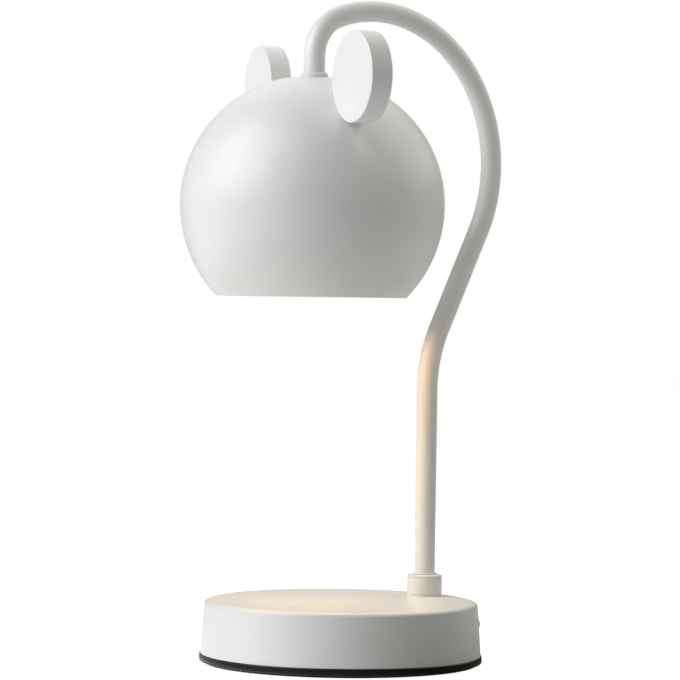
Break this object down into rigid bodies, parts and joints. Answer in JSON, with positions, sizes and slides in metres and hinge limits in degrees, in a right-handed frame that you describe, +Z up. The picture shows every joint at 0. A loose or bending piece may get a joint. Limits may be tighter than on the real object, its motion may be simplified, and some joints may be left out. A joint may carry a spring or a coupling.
{
  "type": "candle warmer lamp",
  "caption": "Table lamp that melts a scented candle from above: weighted round base, curved swivelling tube arm and a globe shade with round ears over a reflector bulb.",
  "frame": {"origin": "centre of the base's underside, on the surface that the lamp stands on", "axes": "+Z up; the arm lies in the YZ plane at rest, its column at +Y and the shade towards -Y; +X to the right seen from the front"},
  "size_m": [0.1579, 0.1764, 0.316],
  "materials": {
    "white_coat": "satin white powder coat on steel",
    "ear_white": "turned wood, sprayed satin white",
    "tray_black": "black moulded plastic, satin edge",
    "pad_rubber": "matt black anti-slip pad",
    "gland_black": "black moulded nylon",
    "cast_weight": "raw sand casting",
    "zinc_steel": "bright zinc plate",
    "spring_steel": "oiled spring steel",
    "tinned_brass": "tinned brass",
    "block_nylon": "natural nylon",
    "lead_sheath": "heat-resisting sheath",
    "core_brown": "silicone insulation",
    "core_green": "silicone insulation",
    "holder_ceramic": "unglazed steatite",
    "bulb_cement": "pressed ceramic cap",
    "bulb_nickel": "nickel-plated pins",
    "bulb_mirror": "aluminised pressed glass",
    "bulb_quartz": "quartz capsule",
    "bulb_glass": "clear pressed front glass"
  },
  "bodies": {
    "base": {"base_cover": "white_coat", "bottom_tray": "tray_black", "foot_pad": "pad_rubber", "counterweight": "cast_weight", "cover_posts": "zinc_steel", "tray_screws": "zinc_steel", "column_collar": "white_coat", "collar_washer": "zinc_steel", "collar_nut": "zinc_steel", "cord_gland": "gland_black", "gland_nut": "gland_black", "terminal_block": "block_nylon", "terminal_screws": "zinc_steel", "block_screw": "zinc_steel", "earth_tag": "tinned_brass", "earth_screw": "zinc_steel", "base_leads": "core_brown", "earth_lead": "core_green"},
    "arm": {"arm_tube": "white_coat", "stop_screw": "zinc_steel", "thrust_washer": "block_nylon", "arm_circlip": "spring_steel", "arm_lead": "lead_sheath", "neck_ferrule": "white_coat", "neck_washer": "white_coat", "neck_nipple": "zinc_steel", "friction_washer": "block_nylon", "neck_nut": "zinc_steel", "holder_bracket": "zinc_steel", "lamp_holder": "holder_ceramic", "holder_screws": "zinc_steel", "holder_contacts": "tinned_brass", "holder_leads": "core_brown"},
    "shade": {"shade": "white_coat", "right_ear": "ear_white", "left_ear": "ear_white", "ear_screws": "zinc_steel", "ear_washers": "zinc_steel"},
    "bulb": {"bulb_base": "bulb_cement", "bulb_pins": "bulb_nickel", "bulb_reflector": "bulb_mirror", "bulb_capsule": "bulb_quartz", "bulb_lens": "bulb_glass"}
  },
  "joints": [
    {"name": "arm_swivel", "type": "hinge", "parent": "base", "child": "arm", "pos_m": [0, 0.0506, 0.04035], "axis": [0, 0, 1], "range_deg": [-90, 90]},
    {"name": "shade_turn", "type": "hinge", "parent": "arm", "child": "shade", "pos_m": [0, -0.0201, 0.27719], "axis": [0, 0, 1], "continuous": true},
    {"name": "bulb_twist", "type": "hinge", "parent": "arm", "child": "bulb", "pos_m": [0, -0.0201, 0.23688], "axis": [0, 0, 1], "range_deg": [-20, 0]}
  ]
}
